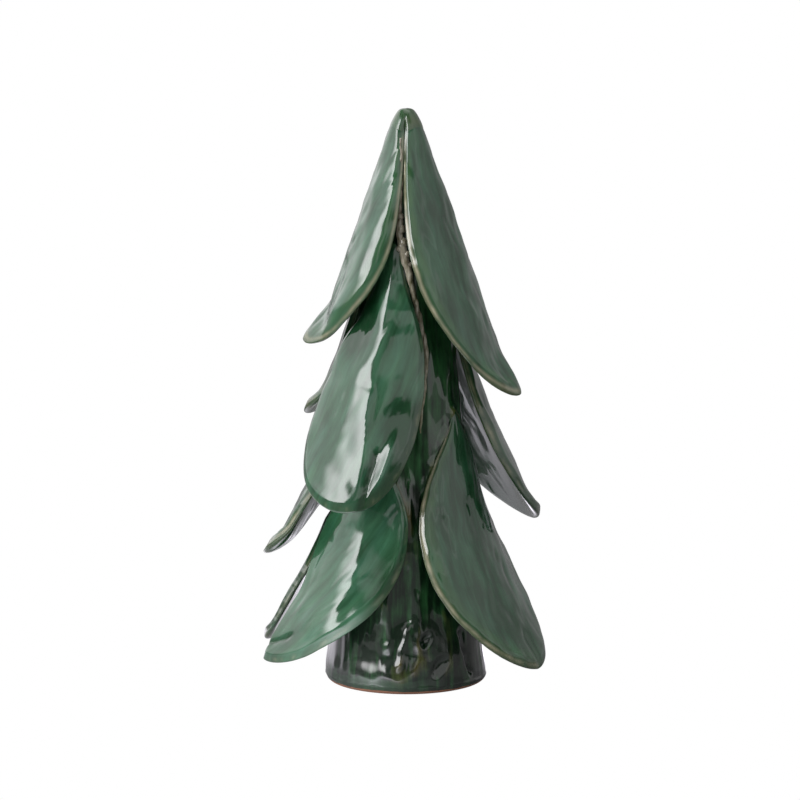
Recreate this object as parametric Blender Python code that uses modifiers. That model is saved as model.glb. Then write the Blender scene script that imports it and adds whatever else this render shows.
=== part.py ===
"""A green-glazed ceramic christmas tree: a thrown hollow cone dressed with fourteen leaf-shaped clay slabs.

Lengths are in millimetres here and become metres in the meshes. The tree stands on z = 0, its axis is
x = y = 0 and its front faces -Y. A leaf's facing is an angle about the axis in degrees, 0 at the front and
positive towards +X. The slabs are luted to the cone near their tops and stand off it towards their tips.
"""
import math
from dataclasses import dataclass

import bmesh
import bpy

MM = 0.001

# The thrown cone, open underneath
TREE_HEIGHT = 280.0
TRUNK_RADIUS = 39.4
TRUNK_TAPER = 0.58
FOOT_BEAD = 0.9
FOOT_BEAD_HEIGHT = 10.0
FOOT_CHAMFER = 1.3
CONE_WALL = 5.0
HOLLOW_TOP = 250.0
CONE_SIDES = 48
OUTSIDE_RINGS = 14
INSIDE_RINGS = 7
BEAD_RINGS = 3

# The slabs: a top end pressed thin against the cone, a rim rubbed thinner than the middle
SLAB = 3.4
SLAB_TOP_SHARE = 0.4
PINCH_LENGTH = 0.25
RIM_SHARE = 0.6
SEAT_GAP = 0.3
CROWN_DROP = 4.0
KICK_START = 0.85
CELLS_ACROSS = 10
CELLS_DOWN = 14


@dataclass
class Leaf:
    """One slab, by the sizes that a potter would cut and bend it to.

    facing is the way its top end looks, top and tip are heights, width is across its middle, and flare is
    how far its back stands off the cone at the tip. sweep carries the tip sideways round the cone.
    low_fullness above 0 moves the widest place down, and the two points sharpen its ends. seat is the
    share of its length that lies on the cone, ease is how late it bends away, kick lifts the tip alone,
    and room is half the angle that it may wrap.
    """
    name: str
    facing: float
    top: float
    tip: float
    width: float
    flare: float
    sweep: float = 0.0
    sweep_ease: float = 2.0
    low_fullness: float = 0.15
    top_point: float = 0.6
    tip_point: float = 0.6
    seat: float = 0.15
    ease: float = 1.3
    kick: float = 0.0
    room: float = 75.0


CROWN = TREE_HEIGHT - CROWN_DROP
CROWN_ROOM = 57.0

LEAVES = [
    # The crown, three long slabs that meet around the tip of the cone
    Leaf("crown_leaf_left", -62, CROWN, 166.5, 59, 15.7, sweep=-29, sweep_ease=3.4, low_fullness=-0.1,
         top_point=0.75, ease=1.45, kick=10, room=CROWN_ROOM),
    Leaf("crown_leaf_right", 54, CROWN, 142, 59, 21, sweep=22, sweep_ease=2.7, low_fullness=-0.2,
         top_point=0.75, tip_point=0.7, ease=1.1, kick=9, room=CROWN_ROOM),
    Leaf("crown_leaf_back", 176, CROWN, 152, 62, 20, sweep=-4, low_fullness=0.1, top_point=0.75,
         tip_point=0.7, kick=4, room=CROWN_ROOM),
    # The middle, four slabs with a bare stretch of cone at the front right
    Leaf("middle_leaf_front", -21, 216, 93.5, 52, 29, sweep=-21, sweep_ease=2.4, low_fullness=0.58,
         top_point=0.45, tip_point=0.45, ease=1.05),
    Leaf("middle_leaf_left", -115, 215, 132.5, 36, 17, sweep=6, low_fullness=0.4, top_point=0.7,
         tip_point=0.65, ease=1.7, kick=4.5),
    Leaf("middle_leaf_back", 182, 207, 98, 30, 22, low_fullness=0.15, top_point=0.7, tip_point=0.5),
    Leaf("middle_leaf_right", 112, 190, 77.5, 64, 35, low_fullness=0.6, top_point=0.6, tip_point=0.4,
         ease=1.15),
    # Two shorter slabs that fill behind, under the middle ones
    Leaf("filler_leaf_left", -102, 142, 61, 52, 28.5, sweep=13, low_fullness=0, top_point=0.7,
         tip_point=0.7, ease=1.0, kick=7),
    Leaf("filler_leaf_back", 176, 140, 62, 40, 20, low_fullness=0.15, top_point=0.7),
    # The lowest, five slabs that reach almost to the foot
    Leaf("low_leaf_front", -25, 116, 10, 53, 30, sweep=-68, sweep_ease=2.2, low_fullness=0.05,
         top_point=1.25, tip_point=0.95, ease=2.1),
    Leaf("low_leaf_right", 56, 137.5, 12.5, 70, 34.3, sweep=3, low_fullness=0.44, top_point=1.15,
         tip_point=0.75, ease=1.9),
    Leaf("low_leaf_left", -109, 100, 14.5, 38, 30, sweep=3, low_fullness=0.05, top_point=0.7,
         tip_point=0.45, ease=1.1),
    Leaf("low_leaf_back", -169, 104, 18, 44, 18, low_fullness=0.2, top_point=0.7, ease=1.4),
    Leaf("low_leaf_back_right", 133, 122, 18, 38, 22, low_fullness=0.25, top_point=0.7, ease=1.5),
]


def trunk_radius(z):
    """Radius of the cone's outside, without the bead at its foot."""
    left = max(1.0 - max(z, 0.0) / TREE_HEIGHT, 0.0)
    return TRUNK_RADIUS * left ** TRUNK_TAPER


def outside_radius(z):
    """Radius of the cone's outside with the bead at its foot."""
    return trunk_radius(z) + FOOT_BEAD * math.exp(-(z / FOOT_BEAD_HEIGHT) ** 2)


def clay(name, colour, roughness):
    """A clay or glaze finish."""
    material = bpy.data.materials.new(name)
    material.use_nodes = True
    shader = material.node_tree.nodes["Principled BSDF"]
    shader.inputs["Base Color"].default_value = (*colour, 1.0)
    shader.inputs["Roughness"].default_value = roughness
    shader.inputs["Metallic"].default_value = 0.0
    material.diffuse_color = (*colour, 1.0)
    return material


def link(mesh, collection, material):
    """Put a mesh in the scene as an object of its own name."""
    obj = bpy.data.objects.new(mesh.name, mesh)
    collection.objects.link(obj)
    mesh.materials.append(material)
    return obj


def cone_profile():
    """Section of the cone from its tip down the outside, across the foot and up the hollow."""
    points = [(0.0, TREE_HEIGHT)]
    for ring in range(1, OUTSIDE_RINGS):
        z = TREE_HEIGHT * (1.0 - (ring / OUTSIDE_RINGS) ** 2)
        points.append((outside_radius(z), z))
    for ring in range(BEAD_RINGS, 0, -1):
        z = FOOT_CHAMFER + FOOT_BEAD_HEIGHT * ring / BEAD_RINGS
        points.append((outside_radius(z), z))
    points.append((outside_radius(FOOT_CHAMFER), FOOT_CHAMFER))
    points.append((outside_radius(0.0) - FOOT_CHAMFER, 0.0))
    points.append((trunk_radius(0.0) - CONE_WALL, 0.0))
    for ring in range(1, INSIDE_RINGS):
        z = HOLLOW_TOP * (1.0 - (1.0 - ring / INSIDE_RINGS) ** 1.4)
        points.append((trunk_radius(z) - CONE_WALL, z))
    points.append((0.0, HOLLOW_TOP))
    return points


def make_cone(collection, glaze):
    """The thrown cone, a section turned about the axis."""
    mesh = bpy.data.meshes.new("thrown_cone")
    shape = bmesh.new()
    vertices = [shape.verts.new((r * MM, 0.0, z * MM)) for r, z in cone_profile()]
    for first, second in zip(vertices, vertices[1:]):
        shape.edges.new((first, second))
    shape.to_mesh(mesh)
    shape.free()
    obj = link(mesh, collection, glaze)
    turn = obj.modifiers.new("turn", "SCREW")
    turn.steps = CONE_SIDES
    turn.render_steps = CONE_SIDES
    turn.use_merge_vertices = True
    turn.merge_threshold = 0.00001
    turn.use_smooth_shade = True
    return obj


def disc(a, b):
    """Carry a square of side 2 onto the disc of radius 1, with smaller cells towards the rim."""
    a = (a + math.sin(a * math.pi / 2.0)) / 2.0
    b = (b + math.sin(b * math.pi / 2.0)) / 2.0
    return a * math.sqrt(1.0 - b * b / 2.0), b * math.sqrt(1.0 - a * a / 2.0)


def half_width(leaf, down):
    """Half the slab's width across its spine, at a share of the way from its top to its tip."""
    height = 1.0 - 2.0 * down
    point = leaf.top_point + (leaf.tip_point - leaf.top_point) * down
    round_end = max(1.0 - height * height, 0.0) ** point
    return leaf.width / 2.0 * round_end * (1.0 - leaf.low_fullness * height)


def stand_off(leaf, down):
    """How far the slab's back stands off the cone."""
    bent = max(down - leaf.seat, 0.0) / (1.0 - leaf.seat)
    kicked = max(down - KICK_START, 0.0) / (1.0 - KICK_START)
    return leaf.flare * bent ** leaf.ease + leaf.kick * kicked ** 2


def leaf_point(leaf, a, b):
    """A point of the slab's back, from a place on a square grid whose top edge is b = 1."""
    x, y = disc(a, b)
    down = (1.0 - y) / 2.0
    share = x / math.sqrt(max(1.0 - y * y, 1e-9))
    share = max(-1.0, min(1.0, share))
    off = stand_off(leaf, down)
    fall = leaf.top - leaf.tip
    spine_z = leaf.top - fall * down
    swing = leaf.sweep * down ** leaf.sweep_ease
    lean = leaf.sweep_ease * leaf.sweep * down ** (leaf.sweep_ease - 1.0)
    slope = math.hypot(lean, fall)
    radius = trunk_radius(spine_z) + SEAT_GAP + SLAB / 2.0 + off
    half = half_width(leaf, down)
    limit = radius * math.radians(leaf.room)
    half = half * limit / (half ** 6 + limit ** 6) ** (1.0 / 6.0)
    around = swing + share * half * fall / slope
    z = spine_z + share * half * lean / slope
    angle = math.radians(leaf.facing) + around / radius
    back = trunk_radius(z) + SEAT_GAP + off
    return back * math.sin(angle), -back * math.cos(angle), z


def make_leaf(leaf, collection, glaze):
    """A slab: its back as a shaped grid, thickened outwards, thinner where its top is pressed down."""
    mesh = bpy.data.meshes.new(leaf.name)
    shape = bmesh.new()
    bmesh.ops.create_grid(shape, x_segments=CELLS_ACROSS, y_segments=CELLS_DOWN, size=1.0)
    thickness = []
    for vertex in shape.verts:
        a, b = vertex.co.x, vertex.co.y
        down = (1.0 - disc(a, b)[1]) / 2.0
        share = min(1.0, SLAB_TOP_SHARE + (1.0 - SLAB_TOP_SHARE) * down / PINCH_LENGTH)
        thickness.append(share * RIM_SHARE if vertex.is_boundary else share)
        vertex.co = [value * MM for value in leaf_point(leaf, a, b)]
    shape.to_mesh(mesh)
    shape.free()
    obj = link(mesh, collection, glaze)
    group = obj.vertex_groups.new(name="thickness")
    for index, weight in enumerate(thickness):
        group.add([index], weight, "REPLACE")
    slab = obj.modifiers.new("slab", "SOLIDIFY")
    slab.thickness = SLAB * MM
    slab.offset = 1.0
    slab.vertex_group = group.name
    mesh.shade_smooth()
    return obj


def main():
    for obj in list(bpy.data.objects):
        bpy.data.objects.remove(obj, do_unlink=True)
    collection = bpy.data.collections.new("christmas_tree_figurine")
    bpy.context.scene.collection.children.link(collection)
    cone_glaze = clay("green_glaze_on_cone", (0.035, 0.09, 0.055), 0.12)
    leaf_glaze = clay("green_glaze_on_slabs", (0.06, 0.14, 0.09), 0.14)
    make_cone(collection, cone_glaze)
    for leaf in LEAVES:
        make_leaf(leaf, collection, leaf_glaze)


main()
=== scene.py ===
# %% [markdown]
# A ceramic christmas tree, glazed deep green, dressed around its construction model.
#
# The real tree is a cone thrown on the wheel. Fourteen slabs of clay, rolled flat, cut as leaves and bent
# while soft, were stuck on it in tiers, and the whole was dipped in a glossy green glaze. The construction
# model already holds every piece at its real size. This script gives each piece the surface that hands and
# glaze leave: rounded rims, ridges, streaks and pale edges where the glaze runs thin.

# %% Load the construction model
import math
from dataclasses import dataclass, fields

import bmesh
import bpy
import numpy as np
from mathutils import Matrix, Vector, noise
from mathutils.kdtree import KDTree


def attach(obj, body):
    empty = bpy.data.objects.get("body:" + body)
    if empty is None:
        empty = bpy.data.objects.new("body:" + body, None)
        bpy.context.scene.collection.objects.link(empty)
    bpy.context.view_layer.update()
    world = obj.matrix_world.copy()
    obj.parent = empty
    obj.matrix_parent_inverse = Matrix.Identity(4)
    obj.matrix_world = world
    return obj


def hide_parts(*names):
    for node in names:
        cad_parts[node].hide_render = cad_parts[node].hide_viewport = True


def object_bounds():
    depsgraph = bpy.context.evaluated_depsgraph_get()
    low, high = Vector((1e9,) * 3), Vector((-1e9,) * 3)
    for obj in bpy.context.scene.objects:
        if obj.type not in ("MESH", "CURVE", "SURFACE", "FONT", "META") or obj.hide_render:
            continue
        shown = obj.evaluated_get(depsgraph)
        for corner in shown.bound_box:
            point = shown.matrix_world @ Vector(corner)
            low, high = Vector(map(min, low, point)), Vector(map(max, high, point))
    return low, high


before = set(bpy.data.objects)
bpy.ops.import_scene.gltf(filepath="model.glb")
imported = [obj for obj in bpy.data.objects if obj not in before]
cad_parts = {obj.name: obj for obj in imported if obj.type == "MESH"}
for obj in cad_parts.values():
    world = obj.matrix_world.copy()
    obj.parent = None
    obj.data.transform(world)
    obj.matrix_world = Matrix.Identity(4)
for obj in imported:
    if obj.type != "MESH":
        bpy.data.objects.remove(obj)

cad_low, cad_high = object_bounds()
print("construction model", len(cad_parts), "nodes, height", round(cad_high[2] - cad_low[2], 4))

# %% [markdown]
# The camera comes first, because every later choice is judged through it. A long lens from 1.6 m away and
# a little above looks down by about 8 degrees. Its shift slides the picture sideways without turning it.

# %% The camera
PICTURE_WIDTH = 800
LENS_MM = 149.3
SENSOR_MM = 36.0
CAMERA_PLACE = Vector((0.0, -1.6, 0.365))
CAMERA_AIM = Vector((0.0, 0.0, 0.137))
AXIS_RIGHT_OF_CENTRE_PX = 6.3
AIM_BELOW_CENTRE_PX = 2.3

camera_data = bpy.data.cameras.new("camera")
camera_data.lens = LENS_MM
camera_data.sensor_width = SENSOR_MM
camera_data.shift_x = -AXIS_RIGHT_OF_CENTRE_PX / PICTURE_WIDTH
camera_data.shift_y = AIM_BELOW_CENTRE_PX / PICTURE_WIDTH
camera = bpy.data.objects.new("camera", camera_data)
camera.location = CAMERA_PLACE
camera.rotation_euler = (CAMERA_AIM - CAMERA_PLACE).to_track_quat("-Z", "Y").to_euler()
bpy.context.scene.collection.objects.link(camera)
bpy.context.scene.camera = camera
print("camera", round((CAMERA_AIM - CAMERA_PLACE).length, 3), "m from what it looks at")

# %% [markdown]
# The sizes are those of the construction model, in millimetres. The cone narrows by a power of the height
# that is left above it, which gives the full belly of a thrown piece; a straight cone would look stiff.
# All slabs were cut from one rolled sheet, so they share one thickness.

# %% Sizes of the cone and of the clay sheet
MM = 0.001
TREE_HEIGHT = (cad_high[2] - cad_low[2]) / MM
TRUNK_RADIUS = 39.4
TRUNK_TAPER = 0.58
CONE_WALL = 5.0
HOLLOW_TOP = 250.0
SLAB = 3.4
PINCH_LENGTH = 0.25
SEAT_GAP = 0.3
KICK_START = 0.85
CROWN = TREE_HEIGHT - 4.0
CROWN_ROOM = 57.0
print("cone", round(TREE_HEIGHT, 1), "mm tall, sheet", SLAB, "mm thick")

# %% [markdown]
# A slab is described as a potter would: where it faces, where its top and tip are, how wide it was cut,
# and how far and how late it bends away. Added here is what only the surface shows. Each value has a usual
# amount, so that a slab names only what is special about it. A list of bare numbers would be shorter and
# unreadable.

# %% The words for one slab


@dataclass
class Leaf:
    """One slab, in millimetres, degrees and shares.

    facing is where its top looks, 0 at the front and growing to the right. top and tip are heights, width
    is across its middle, and flare is how far its back stands off the cone at the tip. sweep carries the
    tip sideways, sweep_ease says how late. low_fullness moves the widest place down, and the two points
    sharpen the ends. seat is the share of its length that lies on the cone, ease is how late it bends away,
    kick lifts the tip alone, and room is half the angle that it may wrap. top_share thins the pressed top,
    tip_swell thickens the tip. waves, streaks and grooves are marks of the hand. rim_wave moves the cut edge
    in and out, trim pulls one side in at trim_at. The lips are rolls along the sides. pale is how much the
    glaze breaks at each side, and how strong the painted highlight is on rims that face the key light. tone
    is how light it is.
    """
    name: str
    facing: float
    top: float
    tip: float
    width: float
    flare: float
    sweep: float = 0.0
    sweep_ease: float = 2.0
    low_fullness: float = 0.15
    top_point: float = 0.6
    tip_point: float = 0.6
    seat: float = 0.15
    ease: float = 1.3
    kick: float = 0.0
    room: float = 75.0
    top_share: float = 0.4
    tip_swell: float = 0.25
    waves: float = 0.5
    streaks: float = 0.22
    grooves: float = 0.4
    rim_wave: float = 0.02
    lip_left: float = 0.3
    lip_right: float = 0.3
    pale_left: float = 0.35
    pale_right: float = 0.35
    pale_tip: float = 1.0
    trim: float = 0.0
    trim_at: float = 0.5
    trim_side: float = 1.0
    tone: float = 0.0
    tone_tip: float = 0.0
    seed: float = 0.0


print("a slab is described by", len(fields(Leaf)), "words")

# %% [markdown]
# Nine slabs show from the front, and each has its own outline, bend and rim. The other five continue the
# tiers behind. A step between the seeds gives every slab its own noise.

# %% The fourteen slabs
SEED_STEP = 3.7

LEAVES = [
    Leaf("crown_leaf_left", -65, CROWN, 166.5, 59, 16.3, sweep=-29, sweep_ease=3.4, low_fullness=-0.1,
         top_point=0.75, tip_point=0.58, ease=1.4, kick=10, room=59, top_share=0.6, tip_swell=0.15,
         waves=0.1, streaks=0.1, grooves=0.25, rim_wave=0.035, lip_left=0.1, lip_right=0.0,
         pale_left=0.1, pale_right=0.9, pale_tip=0.5),
    Leaf("crown_leaf_right", 52, CROWN, 142, 59, 21, sweep=22, sweep_ease=2.7, low_fullness=-0.2,
         top_point=0.75, tip_point=0.58, ease=1.1, kick=9, room=59, top_share=0.6, tip_swell=0.3,
         rim_wave=0.05, streaks=0.28, lip_left=0.5, lip_right=0.1, pale_left=1.2, pale_right=0.1,
         pale_tip=0.5, tone=-0.1, tone_tip=-0.12),
    Leaf("crown_leaf_back", 176, CROWN, 152, 62, 20, sweep=-4, low_fullness=0.1, top_point=0.75,
         tip_point=0.6, kick=4, room=CROWN_ROOM, top_share=0.6, pale_left=0.6, pale_right=0.6),
    Leaf("middle_leaf_front", -21, 216, 93.5, 54, 29, sweep=-21, sweep_ease=2.4, low_fullness=0.58,
         top_point=0.45, tip_point=0.45, ease=1.05, waves=0.1, streaks=0.12, grooves=0.15, rim_wave=0.015,
         lip_left=0.15, lip_right=0.15, pale_left=0.0, pale_right=0.12, pale_tip=0.3, trim=0.34,
         trim_at=0.12),
    Leaf("middle_leaf_left", -112, 215, 128.5, 39, 17.2, sweep=6, low_fullness=0.4, top_point=0.7,
         tip_point=0.5, ease=1.7, kick=5, tip_swell=0.6, pale_left=0.3, pale_right=0.3, tone=-0.15,
         tone_tip=-0.2),
    Leaf("middle_leaf_back", 182, 207, 98, 30, 22, low_fullness=0.15, top_point=0.7, tip_point=0.5),
    Leaf("middle_leaf_right", 112, 190, 75.3, 66, 31.6, low_fullness=0.6, top_point=0.6, tip_point=0.5,
         ease=1.25, tip_swell=0.6, lip_left=0.6, pale_left=0.7, pale_right=0.1, pale_tip=0.0, tone=-0.15,
         tone_tip=-0.6),
    Leaf("filler_leaf_left", -102, 142, 61, 53, 28.3, sweep=13, low_fullness=0, top_point=0.7,
         tip_point=0.42, ease=1.0, kick=6.2, tip_swell=0.45, lip_left=0.1, lip_right=0.5, pale_left=0.1,
         pale_right=0.6, tone=-0.2),
    Leaf("filler_leaf_back", 176, 140, 62, 40, 20, low_fullness=0.15, top_point=0.7),
    Leaf("low_leaf_front", -25, 116, 11, 55, 30.5, sweep=-68, sweep_ease=2.2, low_fullness=0.05,
         top_point=1.25, tip_point=0.85, ease=2.1, waves=0.1, streaks=0.1, grooves=0.15, lip_left=0.25,
         lip_right=0.75, pale_left=0.25, pale_right=0.12, pale_tip=0.5, trim=0.33, trim_at=0.745,
         trim_side=-1),
    Leaf("low_leaf_right", 56, 137.5, 12.5, 70, 35, sweep=3, low_fullness=0.44, top_point=1.15,
         tip_point=0.62, ease=1.9, rim_wave=0.03, lip_left=0.45, lip_right=0.1, pale_left=1.0,
         pale_right=0.1, pale_tip=0.5, streaks=0.3, tone=-0.16, tone_tip=-0.3),
    Leaf("low_leaf_left", -108, 100, 14.5, 43, 31, sweep=3, low_fullness=0.05, top_point=0.7,
         tip_point=0.42, ease=1.1, tip_swell=0.6, rim_wave=0.15, pale_left=0.1, pale_right=0.2, tone=-0.4),
    Leaf("low_leaf_back", -169, 104, 18, 44, 16.8, low_fullness=0.2, top_point=0.7, ease=1.4),
    Leaf("low_leaf_back_right", 133, 122, 18, 38, 22, low_fullness=0.25, top_point=0.7, ease=1.5),
]
for count, leaf in enumerate(LEAVES):
    leaf.seed = SEED_STEP * count
print("slabs", len(LEAVES))

# %% [markdown]
# Every slab follows one rule, so one Geometry Nodes tree makes them all and each slab only sets its
# inputs. A rule with many sums is hard to read as nodes wired by hand. A small class helps: a Field stands
# for a value at each point, and adding or multiplying two Fields adds a Math node to the tree.

# %% Fields, so that a node tree can be written as sums


class Field:
    """A number at each point of a geometry, held by a socket of a node tree."""

    def __init__(self, tree, socket):
        self.tree = tree
        self.socket = socket

    def __add__(self, other):
        return sum_node(self.tree, "ADD", self, other)

    def __radd__(self, other):
        return sum_node(self.tree, "ADD", other, self)

    def __sub__(self, other):
        return sum_node(self.tree, "SUBTRACT", self, other)

    def __rsub__(self, other):
        return sum_node(self.tree, "SUBTRACT", other, self)

    def __mul__(self, other):
        return sum_node(self.tree, "MULTIPLY", self, other)

    def __rmul__(self, other):
        return sum_node(self.tree, "MULTIPLY", other, self)

    def __truediv__(self, other):
        return sum_node(self.tree, "DIVIDE", self, other)

    def __pow__(self, other):
        return sum_node(self.tree, "POWER", self, other)

    def __neg__(self):
        return sum_node(self.tree, "MULTIPLY", self, -1.0)

    def at_least(self, other):
        return sum_node(self.tree, "MAXIMUM", self, other)

    def at_most(self, other):
        return sum_node(self.tree, "MINIMUM", self, other)

    def sine(self):
        return sum_node(self.tree, "SINE", self)

    def cosine(self):
        return sum_node(self.tree, "COSINE", self)

    def root(self):
        return sum_node(self.tree, "SQRT", self.at_least(0.0))


print("a Field knows:", ", ".join(name for name, step in vars(Field).items() if callable(step)))

# %% [markdown]
# Behind every sum stands one Math node. A plain number is set on the node's socket, and a Field is linked
# to it. Setting numbers directly keeps the tree smaller than a Value node for each would.

# %% The nodes behind the sums


def plug(tree, value, socket):
    """Feed a socket with a Field or with a plain number."""
    if isinstance(value, Field):
        tree.links.new(value.socket, socket)
    else:
        socket.default_value = value


def sum_node(tree, operation, *terms):
    """One Math node."""
    node = tree.nodes.new("ShaderNodeMath")
    node.operation = operation
    for term, socket in zip(terms, node.inputs):
        plug(tree, term, socket)
    return Field(tree, node.outputs[0])


def vector_of(tree, x, y, z):
    """A vector put together from three values."""
    node = tree.nodes.new("ShaderNodeCombineXYZ")
    for value, socket in zip((x, y, z), node.inputs):
        plug(tree, value, socket)
    return node.outputs[0]


print("helpers:", plug.__name__, sum_node.__name__, vector_of.__name__)

# %% [markdown]
# Two shapes come back all the time: smooth noise for whatever a hand does unevenly, and a bell, which is 1
# in one place and fades to 0 beside it. Both are cheap, and neither has an edge that would show in the
# gloss. A clip keeps a share between 0 and 1.

# %% Noise, a bell and a clip


def cloud(tree, x, y, z, detail=1.0):
    """Smooth noise from about -1 to 1 at a place. A length over a number gives lumps of that many mm."""
    node = tree.nodes.new("ShaderNodeTexNoise")
    node.inputs["Scale"].default_value = 1.0
    node.inputs["Detail"].default_value = detail
    node.inputs["Roughness"].default_value = 0.5
    tree.links.new(vector_of(tree, x, y, z), node.inputs["Vector"])
    return (Field(tree, node.outputs[0]) - 0.5) * 3.0


def bell(value, width):
    """A bump of height 1 round value 0."""
    return sum_node(value.tree, "EXPONENT", -((value / width) * (value / width)))


def clipped(value):
    """Keep a Field between 0 and 1."""
    return value.at_least(0.0).at_most(1.0)


print("helpers:", cloud.__name__, bell.__name__, clipped.__name__)

# %% [markdown]
# The slabs' tree gets one named input for each size, so a loop can hand them over later. The modifier that
# runs the tree knows an input only by a key, which is looked up by its name.

# %% The inputs of the slab tree
SLAB_INPUTS = [item.name for item in fields(Leaf) if item.name != "name"]

slab_tree = bpy.data.node_groups.new("leaf_slab", "GeometryNodeTree")
slab_tree.is_modifier = True
slab_tree.interface.new_socket("Geometry", in_out="OUTPUT", socket_type="NodeSocketGeometry")
group_in = slab_tree.nodes.new("NodeGroupInput")
group_out = slab_tree.nodes.new("NodeGroupOutput")


def number_input(label, value):
    """A named number of the tree."""
    item = slab_tree.interface.new_socket(label, in_out="INPUT", socket_type="NodeSocketFloat")
    item.default_value = value
    return Field(slab_tree, group_in.outputs[label])


def input_key(label):
    """The name by which a modifier knows one of the tree's inputs."""
    for item in slab_tree.interface.items_tree:
        if item.in_out == "INPUT" and item.name == label:
            return item.identifier
    raise KeyError(label)


size = {label: number_input(label, getattr(LEAVES[0], label)) for label in SLAB_INPUTS}
slab_tree.interface.new_socket("glaze", in_out="INPUT", socket_type="NodeSocketMaterial")
print("inputs", len(size))

# %% [markdown]
# The tree starts from a box of many faces. Its top becomes the slab's front, its bottom the back, and its
# sides the rounded rim. The square is first carried onto a disc, so that no corner is left. A grid laid
# straight on a leaf would pinch its faces together at both ends.

# %% A box carried onto a disc
CELLS_ACROSS = 72
CELLS_ALONG = 150
CELLS_ROUND_RIM = 10

box = slab_tree.nodes.new("GeometryNodeMeshCube")
box.inputs["Size"].default_value = (2.0, 2.0, 2.0)
box.inputs["Vertices X"].default_value = CELLS_ACROSS
box.inputs["Vertices Y"].default_value = CELLS_ALONG
box.inputs["Vertices Z"].default_value = CELLS_ROUND_RIM
place = slab_tree.nodes.new("GeometryNodeInputPosition")
parts = slab_tree.nodes.new("ShaderNodeSeparateXYZ")
slab_tree.links.new(place.outputs[0], parts.inputs[0])
box_a, box_b, box_c = (Field(slab_tree, socket) for socket in parts.outputs)


def closer_at_ends(value):
    """Draw the cells together towards both ends of a side."""
    return (value + (value * (math.pi / 2.0)).sine()) * 0.5


box_a = closer_at_ends(box_a)
box_b = closer_at_ends(box_b)
disc_x = box_a * (1.0 - box_b * box_b * 0.5).root()
disc_y = box_b * (1.0 - box_a * box_a * 0.5).root()
print("cells", CELLS_ACROSS, "by", CELLS_ALONG, "and", CELLS_ROUND_RIM, "round the rim")

# %% [markdown]
# A rolled slab is never quite even. It is thin where its top was pressed on, a little full at the tip, and
# a wet finger rounded its rim. The sides of the box turn through half a circle to make that rim. A Bevel
# modifier would do it too, but it can't follow a thickness that changes.

# %% The thickness, and the rounded rim
THICKNESS_VARIES = 0.16
TIP_SWELL_REACH = 0.09

fall = size["top"] - size["tip"]
early_down = (1.0 - disc_y) * 0.5
pinched = size["top_share"] + early_down * ((1.0 - size["top_share"]) / PINCH_LENGTH)
rolled = cloud(slab_tree, disc_x * size["width"] / 24.0, early_down * fall / 16.0, size["seed"] + 31.0)
swollen = 1.0 + size["tip_swell"] * bell(1.0 - early_down, TIP_SWELL_REACH)
thickness = pinched.at_most(1.0) * SLAB * (1.0 + THICKNESS_VARIES * rolled) * swollen
reach = (disc_x * disc_x + disc_y * disc_y).root().at_least(0.0001)
reach_x = disc_x * size["width"] * 0.5
reach_y = disc_y * fall * 0.5
reach_mm = (reach_x * reach_x + reach_y * reach_y).root() / reach
turn = box_c * (math.pi / 2.0)
inset = 1.0 - thickness * 0.5 / reach_mm.at_least(1.0) * (1.0 - turn.cosine())
leaf_x = disc_x * inset
leaf_y = disc_y * inset
rim_mm = (1.0 - reach * inset) * reach_mm
front = turn.sine() * 0.5 + 0.5
print("thickness and rim:", len(slab_tree.nodes), "nodes so far")

# %% [markdown]
# The outline is an ellipse whose ends can be sharpened and whose widest place can sit low. Slow and quick
# noise move the cut edge in and out, and one side may be pulled in where a neighbour pressed on it. One
# formula keeps all fourteen alike, as one pair of hands would.

# %% The outline
TRIM_REACH = 0.14
SIDE_STEEPNESS = 1.5

down = (1.0 - leaf_y) * 0.5
inside = (1.0 - leaf_y * leaf_y).at_least(0.0000001)
share = leaf_x / inside.root()
long_wave = cloud(slab_tree, down * 6.0, share * 0.7, size["seed"])
short_wave = cloud(slab_tree, down * 19.0, share * 0.7, size["seed"] + 60.0)
on_side = clipped(share * size["trim_side"] * SIDE_STEEPNESS + 0.5)
trimmed = size["trim"] * bell(down - size["trim_at"], TRIM_REACH) * on_side
swell = (1.0 + size["rim_wave"] * (long_wave + short_wave * 0.3)) * (1.0 - trimmed)
point = size["top_point"] + (size["tip_point"] - size["top_point"]) * down
half = size["width"] * 0.5 * inside ** point * (1.0 - size["low_fullness"] * leaf_y) * swell
print("outline:", len(slab_tree.nodes), "nodes so far")

# %% [markdown]
# The slab is then laid on the cone, swept round it, bent away and kicked up at its tip, in the order in
# which a potter does it. Its width is laid off along the round of the cone, so a wide slab wraps and a
# narrow one hardly does. Bending flat slabs with modifiers would need a different stack for each of them.

# %% Bent, swept and wrapped round the cone


def cone_radius(height):
    """Radius of the cone at a height."""
    return (1.0 - height.at_least(0.0) / TREE_HEIGHT).at_least(0.0) ** TRUNK_TAPER * TRUNK_RADIUS


bent = ((down - size["seat"]) / (1.0 - size["seat"])).at_least(0.0)
kicked = ((down - KICK_START) / (1.0 - KICK_START)).at_least(0.0)
stand_off = size["flare"] * bent ** size["ease"] + size["kick"] * kicked * kicked
spine_z = size["top"] - fall * down
swing = size["sweep"] * down ** size["sweep_ease"]
lean = size["sweep_ease"] * size["sweep"] * down.at_least(0.0001) ** (size["sweep_ease"] - 1.0)
slope = (lean * lean + fall * fall).root()
wrap_radius = cone_radius(spine_z) + SEAT_GAP + SLAB * 0.5 + stand_off
limit = wrap_radius * size["room"] * (math.pi / 180.0)
half = half * limit / (half ** 6.0 + limit ** 6.0) ** (1.0 / 6.0)
around = swing + share * half * fall / slope
height = spine_z + share * half * lean / slope
angle = size["facing"] * (math.pi / 180.0) + around / wrap_radius
back = cone_radius(height) + SEAT_GAP + stand_off
print("bent and wrapped:", len(slab_tree.nodes), "nodes so far")

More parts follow.
